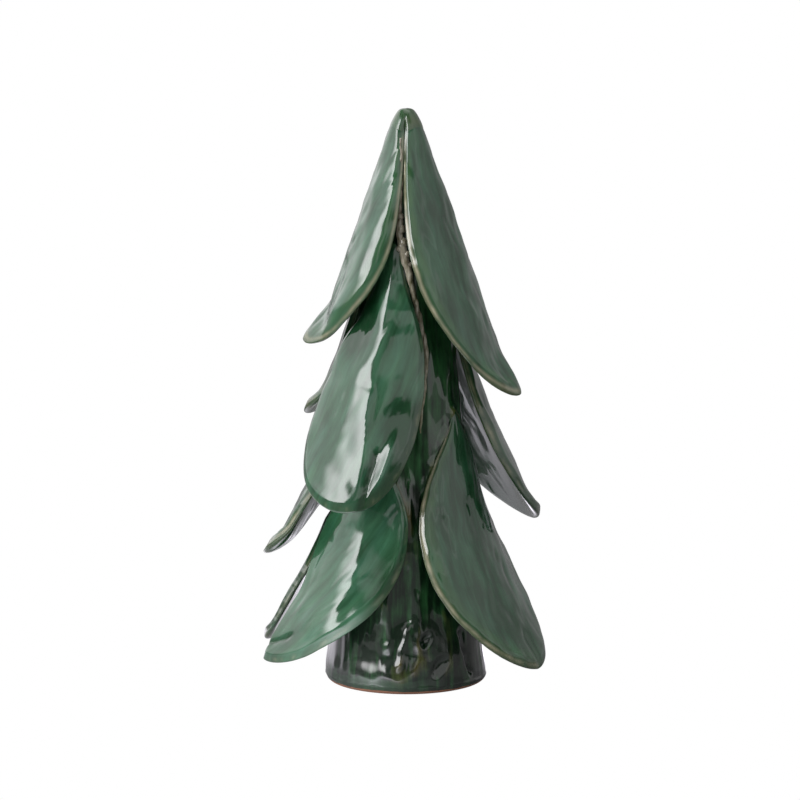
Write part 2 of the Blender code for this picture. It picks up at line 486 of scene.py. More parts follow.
# %% [markdown]
# The slab's front and its marks must rise square to the clay, so the tree also needs the way that the slab
# leans out. It is the slope of the bend, of the kick and of the cone itself, put together.

# %% Which way the slab leans
taper_term = (1.0 - spine_z / TREE_HEIGHT).at_least(0.004) ** (TRUNK_TAPER - 1.0)
widening = fall * taper_term * (TRUNK_RADIUS * TRUNK_TAPER / TREE_HEIGHT)
opening = size["flare"] * size["ease"] * bent.at_least(0.001) ** (size["ease"] - 1.0) / (1.0 - size["seat"])
flaring = opening + size["kick"] * 2.0 * kicked / (1.0 - KICK_START) + widening
tilt = (flaring * flaring + fall * fall).root()
along_mm = down * fall
across_mm = share * half
to_right = clipped(share * SIDE_STEEPNESS + 0.5)
below_top = clipped((down - 0.05) * 8.0)
print("lean:", len(slab_tree.nodes), "nodes so far")

# %% [markdown]
# Fingers draw wet clay lengthwise, so the marks are noise stretched along the slab: broad waves, fine
# streaks and a few grooves that come and go. The streaks bend a little, because a hand never moves quite
# straight. They are real shape, not a painted bump, so that they show at the slab's edge as well.

# %% What the fingers leave
DRAG_SLANT = 0.12
GROOVE_SLANT = 0.2


def finger_noise(cell_across, cell_along, layer):
    """Noise on the slab, in cells of so many millimetres across it and along it."""
    return cloud(slab_tree, across_mm / cell_across, along_mm / cell_along, size["seed"] + layer)


away_from_rim = 1.0 - bell(rim_mm, 3.0)
broad = size["waves"] * finger_noise(13.0, 40.0, 5.0)
bend = 2.2 * finger_noise(12.0, 24.0, 41.0)
drag_across = (across_mm + along_mm * DRAG_SLANT + bend) / 4.2
drag = cloud(slab_tree, drag_across, along_mm / 26.0, size["seed"] + 11.0, detail=2.0)
drag_here = (finger_noise(12.0, 20.0, 23.0) + 0.35).at_least(0.0)
groove_across = (across_mm + along_mm * GROOVE_SLANT + bend) / 7.0
groove_line = cloud(slab_tree, groove_across, along_mm / 45.0, size["seed"] + 51.0)
groove_here = (finger_noise(14.0, 18.0, 57.0) * 1.6 + 0.2).at_least(0.0)
streaks = size["streaks"] * drag * drag_here
streaks = streaks - size["grooves"] * bell(groove_line, 0.2) * groove_here.at_most(1.0)
relief = (broad + streaks) * away_from_rim * (down * 5.0).at_most(1.0)
print("finger marks:", len(slab_tree.nodes), "nodes so far")

# %% [markdown]
# Near the rim the front drops in a soft shoulder, and beside it the wet clay was pushed up into a low lip.
# The glaze runs off both and breaks pale there, and the pale edge is also painted as the highlight of the
# rims that face the key light, so the tree works out here how pale each side will be.

# %% The shoulder, the lip and the pale edge
SHOULDER_DROP = 1.7
SHOULDER_WIDTH = 3.0
LIP_PLACE = 3.4
LIP_WIDTH = 1.9

full_tip = (1.0 - size["tip_swell"] * bell(1.0 - down, 0.12)).at_least(0.0)
shoulder = -SHOULDER_DROP * bell(rim_mm, SHOULDER_WIDTH) * front * front * full_tip
lip_size = size["lip_left"] + (size["lip_right"] - size["lip_left"]) * to_right
lip_varies = 0.8 + 0.5 * cloud(slab_tree, along_mm / 11.0, size["seed"], 3.0)
lip = lip_size * bell(rim_mm - LIP_PLACE, LIP_WIDTH) * lip_varies * front * below_top
pale_varies = 0.75 + 0.5 * cloud(slab_tree, along_mm / 7.0, share, size["seed"] + 70.0)
# The pale edge is partly glaze breaking to the clay and partly a painted highlight on the rims that face the
# key light.
pale_here = (size["pale_left"] + (size["pale_right"] - size["pale_left"]) * to_right) * below_top
pale = pale_here * pale_varies * (1.0 + (size["pale_tip"] - 1.0) * down)
tone = size["tone"] + size["tone_tip"] * down * down
print("lip and pale edge:", len(slab_tree.nodes), "nodes so far")

# %% [markdown]
# All terms meet in one place for each point of the box. Values that the glaze and the hand marks need
# later are kept on the mesh as attributes, because they can't be worked out again from the finished shape.

# %% Put the points in their places
offset = thickness * front + relief + (shoulder + lip) * (thickness / SLAB)
radius = back + offset * fall / tilt
height = height + offset * flaring / tilt
final = vector_of(slab_tree, radius * angle.sine() * MM, -(radius * angle.cosine()) * MM, height * MM)
outward = vector_of(slab_tree, angle.sine() * fall / tilt, -(angle.cosine() * fall / tilt), flaring / tilt)


def store(geometry, label, socket, kind="FLOAT"):
    """Keep a value on the mesh, for the glaze and the hand marks to read."""
    node = slab_tree.nodes.new("GeometryNodeStoreNamedAttribute")
    node.data_type = kind
    node.domain = "POINT"
    node.inputs["Name"].default_value = label
    slab_tree.links.new(geometry, node.inputs["Geometry"])
    slab_tree.links.new(socket, node.inputs["Value"])
    return node.outputs["Geometry"]


geometry = box.outputs["Mesh"]
for label, value in (("rim_mm", rim_mm), ("across_mm", across_mm), ("along_mm", along_mm),
                     ("front", front), ("pale", pale), ("tone", tone), ("raised", relief)):
    geometry = store(geometry, label, value.socket)
geometry = store(geometry, "outward", outward, "FLOAT_VECTOR")
shaped = slab_tree.nodes.new("GeometryNodeSetPosition")
slab_tree.links.new(geometry, shaped.inputs["Geometry"])
slab_tree.links.new(final, shaped.inputs["Position"])
print("points in their places:", len(slab_tree.nodes), "nodes so far")

# %% [markdown]
# The end of every such tree is the same: smooth shading, real geometry in place of instances, and the
# material. Nothing is then lost when the result becomes a plain mesh.

# %% Close the slab tree
smooth = slab_tree.nodes.new("GeometryNodeSetShadeSmooth")
slab_tree.links.new(shaped.outputs["Geometry"], smooth.inputs["Geometry"])
real = slab_tree.nodes.new("GeometryNodeRealizeInstances")
slab_tree.links.new(smooth.outputs["Geometry"], real.inputs["Geometry"])
coat = slab_tree.nodes.new("GeometryNodeSetMaterial")
slab_tree.links.new(real.outputs["Geometry"], coat.inputs["Geometry"])
slab_tree.links.new(group_in.outputs["glaze"], coat.inputs["Material"])
slab_tree.links.new(coat.outputs["Geometry"], group_out.inputs["Geometry"])
print("slab tree", len(slab_tree.nodes), "nodes")

# %% [markdown]
# Glaze is glass over clay. Where it lies thick it is bottle green, where it is thin it turns sage, and on
# a sharp rim it breaks to the pale clay below, brightened into a painted highlight where the rim faces the
# key light. The shader gets a soft coloured base under a clear coat.
# The coat mirrors sharply, as glass does, and the base keeps its colour. One rough surface alone couldn't
# do both.

# %% Colours, and the start of a glaze
DEEP_GREEN = (0.008, 0.054, 0.018)
BRIGHT_GREEN = (0.052, 0.175, 0.078)
BLUE_GREEN = (0.040, 0.160, 0.095)
GRASS_GREEN = (0.060, 0.170, 0.050)
OLIVE = (0.120, 0.130, 0.050)
# Pale clay, brightened so that the rim line also serves as a painted highlight.
PALE_CLAY_AND_HIGHLIGHT = (0.58, 0.54, 0.37)
GLAZE_ROUGHNESS = 0.3
GLAZE_COAT_IOR = 1.65


def start_glaze(name, coat_roughness):
    """A glossy glaze whose colour is still to come."""
    material = bpy.data.materials.new(name)
    material.use_nodes = True
    shader = material.node_tree.nodes["Principled BSDF"]
    shader.inputs["Roughness"].default_value = GLAZE_ROUGHNESS
    shader.inputs["Coat Weight"].default_value = 1.0
    shader.inputs["Coat Roughness"].default_value = coat_roughness
    shader.inputs["Coat IOR"].default_value = GLAZE_COAT_IOR
    shader.inputs["Specular IOR Level"].default_value = 0.2
    return material, material.node_tree, shader


def mix(tree, share, first, second):
    """A colour between two colours."""
    node = tree.nodes.new("ShaderNodeMix")
    node.data_type = "RGBA"
    node.clamp_factor = True
    plug(tree, share, node.inputs[0])
    for value, socket in ((first, node.inputs[6]), (second, node.inputs[7])):
        if isinstance(value, tuple):
            socket.default_value = (*value, 1.0)
        else:
            tree.links.new(value, socket)
    return node.outputs[2]


def attribute(tree, label):
    """A value that is stored on the mesh."""
    node = tree.nodes.new("ShaderNodeAttribute")
    node.attribute_name = label
    return Field(tree, node.outputs["Fac"])


def place_in_mm(tree):
    """Where a point of the object is, as three values in millimetres."""
    node = tree.nodes.new("ShaderNodeTexCoord")
    split = tree.nodes.new("ShaderNodeSeparateXYZ")
    tree.links.new(node.outputs["Object"], split.inputs[0])
    return [Field(tree, socket) / MM for socket in split.outputs]


print("glaze coat with an index of", GLAZE_COAT_IOR)

# %% [markdown]
# The slabs' glaze reads what their tree stored, so it knows how far each point is from the rim and how
# high the clay was drawn up there. Noise stretched along the slab shows how the glaze ran. The colours go
# on in layers, from the deep body to the bare line at the rim, and each layer covers only what it needs.
# That bare line is pale clay and also a painted highlight on the rims that face the key light.

# %% The glaze of the slabs
GRASS_PLACE = 5.5
GRASS_WIDTH = 2.6
OLIVE_WIDTH = 2.2
PALE_LINE_PLACE = 1.3
PALE_LINE_WIDTH = 0.85

slab_glaze, tree_g, slab_shader = start_glaze("slab_glaze", 0.04)
rim_field = attribute(tree_g, "rim_mm")
across_field = attribute(tree_g, "across_mm")
along_field = attribute(tree_g, "along_mm")
pale_field = attribute(tree_g, "pale")
flow = across_field + along_field * DRAG_SLANT
flow = flow + 2.6 * cloud(tree_g, across_field / 10.0, along_field / 24.0, 31.0)
streak = cloud(tree_g, flow / 3.0, along_field / 26.0, 2.0, detail=4.0)
patch = cloud(tree_g, flow / 10.0, along_field / 20.0, 8.0, detail=2.0)
thin_on_ridges = attribute(tree_g, "raised").at_most(0.4) * 0.4
lightness = clipped(0.45 + attribute(tree_g, "tone") + streak * 0.55 + patch * 0.4 + thin_on_ridges)
bluish = cloud(tree_g, flow / 6.0, along_field / 30.0, 44.0) * 0.5 + 0.4
body = mix(tree_g, lightness, DEEP_GREEN, mix(tree_g, bluish, BRIGHT_GREEN, BLUE_GREEN))
broken = cloud(tree_g, across_field / 4.0, along_field / 8.0, 17.0, detail=2.0)
beside_rim = mix(tree_g, bell(rim_field - GRASS_PLACE, GRASS_WIDTH) * pale_field * 0.7, body, GRASS_GREEN)
olive_here = bell(rim_field, OLIVE_WIDTH) * (0.12 + pale_field * 0.7 + broken * 0.25)
near_rim = mix(tree_g, olive_here, beside_rim, OLIVE)
# The bare line: pale clay where the glaze breaks, and a painted highlight on rims that face the key light.
bare_line_and_highlight = bell(rim_field - PALE_LINE_PLACE, PALE_LINE_WIDTH) * attribute(tree_g, "front")
bare_rim_and_highlight = mix(tree_g, bare_line_and_highlight * (pale_field * 0.95 + broken * 0.25 - 0.05), near_rim, PALE_CLAY_AND_HIGHLIGHT)
tree_g.links.new(bare_rim_and_highlight, slab_shader.inputs["Base Color"])
print("slab glaze", len(tree_g.nodes), "nodes")

# %% [markdown]
# On the cone the glaze is nearly black low down and greener higher up, with amber and olive on the crests.
# A lighter green band low on one side of the foot is a painted reflection of the floor. The dome between
# the crown slabs takes their colours, so that all three seem to grow together at the tip.

# %% The glaze of the cone
BLACK_GREEN = (0.003, 0.014, 0.005)
CONE_GREEN = (0.030, 0.130, 0.040)
AMBER = (0.160, 0.130, 0.030)
FLOOR_REFLECTION_GREEN = (0.050, 0.110, 0.060)
FLOOR_REFLECTION_TOP = 8.0
FLOOR_REFLECTION_X = -14.0
FLOOR_REFLECTION_WIDTH = 22.0
CROWN_BLEND_START = 254.0
CROWN_BLEND_END = 262.0

cone_glaze, tree_c, cone_shader = start_glaze("cone_glaze", 0.03)
x_mm, y_mm, z_mm = place_in_mm(tree_c)
drips = cloud(tree_c, x_mm / 3.0, y_mm / 3.0, z_mm / 34.0, detail=2.0)
pools = cloud(tree_c, x_mm / 8.0, y_mm / 8.0, z_mm / 11.0, detail=2.0)
# Greener higher up and nearly black low down.
greener_higher = clipped((z_mm - 40.0) / 120.0) * 0.45
greener = clipped(0.05 + greener_higher + drips * 0.7 + pools * 0.4)
on_crests = clipped(attribute(tree_c, "raised") * 0.45 + drips * 0.3 + pools * 0.25 - 0.35)
amber = mix(tree_c, on_crests, mix(tree_c, greener, BLACK_GREEN, CONE_GREEN), AMBER)
# A lighter green band low on the foot: a painted reflection of the floor.
reflection_top = FLOOR_REFLECTION_TOP + 2.5 * cloud(tree_c, x_mm / 9.0, y_mm / 9.0, 3.0)
reflection_here = clipped(0.75 * bell(x_mm - FLOOR_REFLECTION_X, FLOOR_REFLECTION_WIDTH) + 0.3 * pools)
glazed = mix(tree_c, clipped((reflection_top - z_mm) / 0.8) * reflection_here * 0.8, amber, FLOOR_REFLECTION_GREEN)
crown_green = mix(tree_c, clipped(0.5 + drips * 0.3), DEEP_GREEN, BRIGHT_GREEN)
crown_olive = mix(tree_c, clipped(0.25 + pools * 0.4), crown_green, OLIVE)
in_crown = clipped((z_mm - CROWN_BLEND_START) / (CROWN_BLEND_END - CROWN_BLEND_START))
glazed = mix(tree_c, in_crown, glazed, crown_olive)
print("cone glaze", len(tree_c.nodes), "nodes")

# %% [markdown]
# A wandering line near the ground ends the glaze. Below it, underneath and inside, the potter kept the
# clay bare, and it fired to terracotta. One mask carries all that changes at the line: the colour, the
# gloss of the coat and the roughness. A second material would need a hard border along the faces.

# %% The bare clay of the foot
TERRACOTTA = (0.50, 0.26, 0.17)
DARK_TERRACOTTA = (0.33, 0.16, 0.10)
GLAZE_LINE = 1.9
GLAZE_LINE_WANDER = 0.45
CLAY_ROUGHNESS = 0.85

line_height = GLAZE_LINE + GLAZE_LINE_WANDER * cloud(tree_c, x_mm / 7.0, y_mm / 7.0, 11.0, detail=2.0)
bare = clipped((line_height - z_mm) / 0.25 + attribute(tree_c, "inside") * 900.0)
grain = cloud(tree_c, x_mm / 0.7, y_mm / 0.7, z_mm / 0.7, detail=3.0)
clay = mix(tree_c, clipped(0.5 + grain * 0.35 + pools * 0.2), DARK_TERRACOTTA, TERRACOTTA)
tree_c.links.new(mix(tree_c, bare, glazed, clay), cone_shader.inputs["Base Color"])
plug(tree_c, 1.0 - bare, cone_shader.inputs["Coat Weight"])
plug(tree_c, GLAZE_ROUGHNESS + bare * (CLAY_ROUGHNESS - GLAZE_ROUGHNESS), cone_shader.inputs["Roughness"])
print("bare clay below", GLAZE_LINE, "mm")

# %% [markdown]
# What makes each slab look handled is pressed in afterwards, as a potter does with a thumb. A fold is a
# long ridge or groove along a line, with a steep and a gentle flank. A mark is a soft oval, raised or
# pressed in. Both are plain sums over the points of a mesh, which numpy does for a whole slab at once.

# %% The words for a fold and a mark


@dataclass
class Fold:
    """A ridge or groove along a line of (across, along) points, in the units of the piece.

    left and right are how wide its flanks are, soft rounds its crest, and fade is how slowly its ends rise.
    """
    line: list
    height: float
    left: float = 6.0
    right: float = 6.0
    soft: float = 0.8
    fade: float = 10.0


@dataclass
class Mark:
    """A soft oval at a place, raised or pressed in, turned by some degrees, with a softer or harder edge."""
    across: float
    along: float
    half_across: float
    half_along: float
    height: float
    turn: float = 0.0
    edge: float = 1.0


print("a fold is described by", len(fields(Fold)), "words, a mark by", len(fields(Mark)))

# %% [markdown]
# A fold's line has a few points only, so it would bend sharply at each. Taking the mean of five looks at
# it, a little apart, rounds those bends. Each flank falls off by itself, and both ends rise slowly out of
# the clay.

# %% How high a fold or a mark stands
LINE_LOOKS = (-5.0, -2.5, 0.0, 2.5, 5.0)


def ease_in(share):
    """Smooth step from 0 to 1."""
    share = np.clip(share, 0.0, 1.0)
    return share * share * (3.0 - 2.0 * share)


def fold_height(fold, across, along):
    """How far a fold lifts each point."""
    start = fold.line[0][1]
    stop = fold.line[-1][1]
    line = np.array(sorted(fold.line, key=lambda point: point[1]), dtype=float)
    bends = [np.interp(along + look, line[:, 1], line[:, 0]) for look in LINE_LOOKS]
    off = across - np.mean(bends, axis=0)
    flank = np.where(off < 0.0, fold.left, fold.right)
    tent = np.exp(-(np.sqrt(off ** 2 + fold.soft ** 2) - fold.soft) / flank)
    way = math.copysign(1.0, stop - start)
    begin = ease_in((along - start) * way / fold.fade)
    end = ease_in((stop - along) * way / fold.fade)
    return fold.height * tent * begin * end


def mark_height(mark, across, along):
    """How far a mark lifts each point."""
    lean = math.radians(mark.turn)
    side = (across - mark.across) * math.cos(lean) + (along - mark.along) * math.sin(lean)
    down_it = (along - mark.along) * math.cos(lean) - (across - mark.across) * math.sin(lean)
    reach = np.sqrt((side / mark.half_across) ** 2 + (down_it / mark.half_along) ** 2)
    return mark.height * ease_in((1.0 + mark.edge / 2.0 - reach) / mark.edge)


def pressed(touches, across, along):
    """The sum of all folds and marks of one piece."""
    total = np.zeros_like(across)
    for touch in touches:
        work = fold_height if isinstance(touch, Fold) else mark_height
        total += work(touch, across, along)
    return total


halfway = mark_height(Mark(0, 0, 10, 10, 1.0), np.array([10.0]), np.array([0.0]))[0]
print("a mark of height 1 stands", round(float(halfway), 2), "high at its edge")

# %% [markdown]
# Only the touches by which a slab is known are listed: the long ridge down the lowest one, the thumb's
# hollow in the middle one, the bent ridge of the left crown slab, and grooves where fingers slipped. Noise
# does the rest. Places are millimetres across a slab from its middle line, and along it from its top.

# %% Where the hand pressed the slabs
TOUCHES = {
    "middle_leaf_front": [
        Fold([(0.6, 8), (0.9, 20), (1.6, 30), (2.1, 41)], 0.5, left=6, right=1.2, soft=0.5, fade=8),
        Fold([(1.8, 36), (0.6, 48.5), (1.4, 57.7), (2.8, 68)], 0.9, left=40, right=9, soft=1.3, fade=9),
        Fold([(3.0, 62), (5.8, 76.8), (8.8, 86.2), (13.0, 93.5), (14.8, 100.4), (16.0, 109)], 1.1, left=9,
             right=0.8, soft=0.35, fade=10),
        Fold([(20.8, 79), (21.8, 93), (22.4, 99), (21.5, 105.5), (20, 113)], 2.4, left=5, right=2.5,
             soft=0.8, fade=12),
        Fold([(14.5, 90), (16.2, 99), (17.6, 106), (19.6, 112), (21, 119)], -1.5, left=1.0, right=1.0,
             soft=0.4, fade=5),
        Mark(-14.5, 31, 9.5, 24, -3.0, turn=-8, edge=1.2),
        Mark(29, 98, 13.5, 30, -2.2, turn=-15, edge=0.55),
    ],
    "low_leaf_front": [
        Fold([(-8, 2), (-1.5, 26), (2, 36), (4.5, 43), (9.2, 53), (12, 59), (13.5, 64), (15.5, 74),
              (18, 88)], 2.2, left=40, right=12, soft=1.6, fade=16),
        Mark(24, 54, 11, 20, -1.2, turn=-40, edge=1.4),
        Mark(17.5, 57.5, 4, 3.5, 0.5, turn=-30, edge=1.5),
        Fold([(5.5, 86), (-4.6, 104)], -1.2, left=1.6, right=1.6, soft=0.4, fade=6),
    ],
    "crown_leaf_left": [
        Fold([(16, 20), (15.5, 34), (14.5, 41), (11.8, 49), (12.5, 57), (14.7, 63), (17, 70), (16, 84),
              (12, 102)], 1.7, left=10, right=7, soft=1.6, fade=18),
        Fold([(-1.3, 66), (2.5, 80), (8.5, 94)], -0.7, left=0.9, right=0.9, soft=0.3, fade=8),
        Fold([(-2.2, 75), (-2.8, 100)], -0.7, left=0.9, right=0.9, soft=0.3, fade=7),
        Fold([(-4.6, 58), (-3, 85)], -0.6, left=1.0, right=1.0, soft=0.3, fade=8),
        Fold([(2.5, 69), (6.5, 81), (12, 94)], -0.6, left=0.8, right=0.8, soft=0.3, fade=8),
        Fold([(-11, 76), (0.5, 108)], -0.6, left=0.9, right=0.9, soft=0.3, fade=8),
        Fold([(-2, 48), (3, 78)], 0.3, left=4, right=2, soft=0.6, fade=12),
    ],
    "crown_leaf_right": [
        Fold([(-16, 46), (-10, 74)], -0.5, left=1.6, right=1.6, soft=0.6, fade=9),
        Fold([(-9, 76), (0, 104)], 0.35, left=1.4, right=2.0, soft=0.5, fade=10),
        Fold([(-2, 44), (4, 70)], -0.3, left=1.4, right=1.4, soft=0.5, fade=9),
        Fold([(4, 72), (10, 100)], -0.35, left=1.2, right=1.8, soft=0.5, fade=10),
        Fold([(9, 40), (13, 66)], 0.3, left=2.0, right=1.2, soft=0.5, fade=9),
    ],
    "low_leaf_right": [
        Fold([(2, 104), (-1, 128)], -1.2, left=1.4, right=1.4, soft=0.4, fade=8),
        Fold([(-22, 48), (-20, 78)], -0.4, left=2.0, right=2.0, soft=0.6, fade=10),
        Fold([(-10, 62), (-12, 92)], 0.4, left=1.8, right=2.4, soft=0.6, fade=10),
        Fold([(-2, 40), (-2, 70)], -0.35, left=1.6, right=1.6, soft=0.6, fade=10),
        Fold([(6, 70), (7, 106)], 0.35, left=2.4, right=1.6, soft=0.6, fade=10),
        Fold([(28, 46), (31, 76), (27, 104)], 0.5, left=1.0, right=1.0, soft=0.4, fade=10),
    ],
    "filler_leaf_left": [
        Fold([(3, 50), (2, 86)], -1.5, left=2.0, right=2.0, soft=0.5, fade=12),
        Fold([(-3, 30), (-4, 84)], 0.9, left=3.0, right=3.0, soft=0.5, fade=12),
    ],
    "middle_leaf_right": [
        Fold([(-24, 40), (-20, 100)], -0.7, left=1.6, right=2.4, soft=0.5, fade=12),
        Fold([(-14, 30), (-12, 96)], 0.8, left=2.4, right=3.0, soft=0.6, fade=12),
    ],
}
print("folds and marks", sum(len(touches) for touches in TOUCHES.values()))

# %% [markdown]
# A hand's lines are never quite true, so each point's place on the slab is shifted by a little noise
# before the folds are worked out. The lift then moves the point the way the slab faces. It is also added
# to what the glaze reads, because glaze runs thin on any ridge.

# %% Press a slab
WANDER = 0.9
WANDER_CELL = 12.0
WANDER_LAYERS = (0.0, 50.0)


def read_points(mesh, label, width=1):
    """One stored value, or vector, for each point of a mesh."""
    values = np.empty(len(mesh.vertices) * width)
    mesh.attributes[label].data.foreach_get("value" if width == 1 else "vector", values)
    return values if width == 1 else values.reshape(-1, width)


def places_in_mm(mesh):
    """The place of each point of a mesh, in millimetres."""
    places = np.empty(len(mesh.vertices) * 3)
    mesh.vertices.foreach_get("co", places)
    return places.reshape(-1, 3) / MM


def wander(across, along, seed):
    """Let the lines of a hand wander a little, the same way each time."""
    shifts = []
    for layer in WANDER_LAYERS:
        shifts.append([noise.noise(Vector((a / WANDER_CELL, b / WANDER_CELL, seed + layer)))
                       for a, b in zip(across, along)])
    return across + WANDER * np.array(shifts[0]), along + WANDER * np.array(shifts[1])


def press(mesh, touches, seed):
    """Move the points of a slab out or in, and add that to what the glaze reads."""
    across, along = wander(read_points(mesh, "across_mm"), read_points(mesh, "along_mm"), seed)
    lift = pressed(touches, across, along)
    places = places_in_mm(mesh) + read_points(mesh, "outward", 3) * lift[:, None]
    mesh.vertices.foreach_set("co", (places * MM).ravel())
    mesh.attributes["raised"].data.foreach_set("value", read_points(mesh, "raised") + lift)
    mesh.update()


print("lines wander by up to", WANDER, "mm")

# %% [markdown]
# Each slab is made by an empty carrier whose one modifier runs the tree. Its evaluated result is kept as a
# plain mesh and the carrier is thrown away, since only plain meshes can be pressed point by point. Every
# slab then stands in for its solid and rides on the tree's one body.

# %% Dress the slabs


def make_piece(leaf):
    """Run the tree for one slab and keep its result as a plain mesh."""
    carrier = bpy.data.objects.new(leaf.name + "_carrier", bpy.data.meshes.new("empty"))
    bpy.context.scene.collection.objects.link(carrier)
    modifier = carrier.modifiers.new("slab", "NODES")
    modifier.node_group = slab_tree
    for label in SLAB_INPUTS:
        modifier[input_key(label)] = float(getattr(leaf, label))
    modifier[input_key("glaze")] = slab_glaze
    ready = bpy.context.evaluated_depsgraph_get()
    mesh = bpy.data.meshes.new_from_object(carrier.evaluated_get(ready))
    bpy.data.objects.remove(carrier)
    mesh.name = leaf.name + "_glazed"
    press(mesh, TOUCHES.get(leaf.name, []), leaf.seed)
    piece = bpy.data.objects.new(mesh.name, mesh)
    bpy.context.scene.collection.objects.link(piece)
    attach(piece, "root")
    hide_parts(leaf.name)
    return piece


slab_meshes = []
for leaf in LEAVES:
    piece = make_piece(leaf)
    slab_meshes.append(piece.data)
    print(piece.name, len(piece.data.polygons), "faces")

# %% [markdown]
# The cone shows at the foot and between the slabs. It starts as a clean turned shape, so a profile of
# radius and height describes it. Its point is rounded to a small dome, and its foot swells a little where
# the clay was rolled back. Rings lie close together at the tip and the foot, where the shape is quick to
# change.

# %% The outside of the cone
FOOT_ROUND = 3.4
FOOT_BULGE = 0.55
FOOT_BULGE_HEIGHT = 7.5
FOOT_BULGE_WIDTH = 6.0
DOME_SLOPE = 6.6
DOME_FLAT = 7.6
DOME_END = 7.0
DOME_GONE = 22.0
DOME_EDGE = 0.35
FINE_TIP = 14.0
FINE_FOOT = 40.0


def wall_radius(height):
    """Radius of the plain cone at a height."""
    return TRUNK_RADIUS * np.maximum(1.0 - height / TREE_HEIGHT, 0.0) ** TRUNK_TAPER


def cone_outside(height):
    """Radius of the cone's outside at heights, with the dome at its tip and the bulge at its foot."""
    below_tip = np.maximum(TREE_HEIGHT - height, 0.0)
    plain = wall_radius(height)
    dome = np.sqrt(DOME_SLOPE * below_tip + DOME_FLAT * (1.0 - np.exp(-below_tip / DOME_EDGE)))
    radius = plain + (dome - plain) * (1.0 - ease_in((below_tip - DOME_END) / (DOME_GONE - DOME_END)))
    return radius + FOOT_BULGE * np.exp(-((height - FOOT_BULGE_HEIGHT) / FOOT_BULGE_WIDTH) ** 2)


tip_heights = TREE_HEIGHT - FINE_TIP * np.linspace(0.03, 1.0, 20) ** 2
wall_heights = np.linspace(TREE_HEIGHT - FINE_TIP - 1.2, FINE_FOOT, 150)
foot_heights = np.linspace(FINE_FOOT - 0.8, FOOT_ROUND, 50)
outside_heights = np.concatenate([tip_heights, wall_heights, foot_heights])
outside = list(zip(cone_outside(outside_heights), outside_heights))
print("rings outside", len(outside))

# %% [markdown]
# The profile goes on round the foot, under the bare ring and up the hollow inside, so the cone is a closed
# shell with a real wall, as a thrown one is. A Solidify modifier would give a wall as well, but not a foot
# that is rounded outside and nearly sharp inside.

# %% The foot and the hollow
FOOT_TURNS = np.linspace(0.125, 1.0, 8) * math.pi / 2.0
INNER_EDGE = 0.8
INNER_BEVEL = 0.25

foot_radius = float(cone_outside(np.array([FOOT_ROUND]))[0])
foot = [(foot_radius - FOOT_ROUND * (1.0 - math.cos(angle_down)), FOOT_ROUND * (1.0 - math.sin(angle_down)))
        for angle_down in FOOT_TURNS]
ring_outer = foot[-1][0]
ring_inner = TRUNK_RADIUS - CONE_WALL + INNER_EDGE
underside = [(ring_outer + (ring_inner - ring_outer) * share, 0.0) for share in (0.35, 0.7, 1.0)]
hollow = [(TRUNK_RADIUS - CONE_WALL + INNER_BEVEL, INNER_BEVEL)]
for height in HOLLOW_TOP * np.linspace(0.02, 0.97, 22):
    hollow.append((wall_radius(height) - CONE_WALL, height))
profile = np.array(outside + foot + underside + hollow)
print("cone rings", len(profile), "foot radius", round(foot_radius, 2))

# %% [markdown]
# The clay of the foot was dragged down by fingers and pressed flat by thumbs. The same folds and marks
# show that, with places in degrees round the cone from the front and in millimetres above the ground.

# %% The marks on the cone
CONE_TOUCHES = [
    Fold([(-13, 72), (-14, 40), (-12, 17)], 0.9, left=4, right=2.5, soft=0.8, fade=8),
    Fold([(3, 36), (-3, 22), (-8, 11)], 1.4, left=2.4, right=2.2, soft=0.8, fade=5),
    Fold([(1.5, 66), (2.0, 40), (1.0, 28)], -0.9, left=3, right=3, soft=1.0, fade=8),
    Mark(-6, 10, 10, 7, 1.5, edge=1.5),
    Mark(14.5, 24, 9, 9, 0.8, turn=20, edge=1.3),
    Mark(15.0, 27, 3.4, 2.8, -1.7, turn=30, edge=1.4),
    Mark(11.0, 12, 7, 5.0, 0.6, turn=20, edge=1.2),
    Mark(24.0, 13, 6, 3.2, -1.4, turn=35, edge=1.3),
    Fold([(41.5, 32), (48.5, 18), (55, 5)], -2.6, left=1.8, right=1.8, soft=0.5, fade=5),
    Fold([(39.0, 32), (46.0, 18), (52.5, 5)], 0.8, left=2.5, right=2.0, soft=0.8, fade=6),
    Mark(-28, 26, 13, 11, -0.7, edge=1.3),
    Fold([(8, 52), (9, 24), (7, 6)], 1.0, left=3, right=3, soft=1.0, fade=8),
    Fold([(29, 46), (31, 20), (29, 6)], 0.9, left=5, right=4, soft=1.0, fade=9),
    Fold([(-19, 60), (-20, 34)], 0.7, left=3, right=3, soft=0.8, fade=8),
    Fold([(3.5, 110), (4.0, 74)], 0.8, left=1.5, right=3.0, soft=0.6, fade=12),
    Fold([(-6.5, 258), (-5.0, 277)], -2.2, left=7.0, right=7.0, soft=1.0, fade=6),
]
print("marks on the cone", len(CONE_TOUCHES))

# %% [markdown]
# Every point of every ring is moved in or out by the marks, by long flutes that the fingers pulled, and by
# lumps. Noise that is read on a circle closes on itself, so no seam shows behind. Towards the ground all
# of this dies away, because the foot has to stand flat, and the glaze ends in a small roll.

# %% Flutes, lumps and marks round the cone
CONE_COLUMNS = 384
CONE_WANDER = 2.2
GLAZE_ROLL = 0.3
GLAZE_ROLL_HEIGHT = 3.0
GLAZE_ROLL_WIDTH = 0.9
FLUTES_END = 264.0


def ring_noise(around, up, seed):
    """Noise on the rings: around is its cells round the circle, up is the height of a cell."""
    rim = around / (2.0 * math.pi)
    return np.array([noise.noise(Vector((math.cos(turn) * rim, math.sin(turn) * rim + seed, height / up)))
                     for turn, height in zip(turns, heights)])


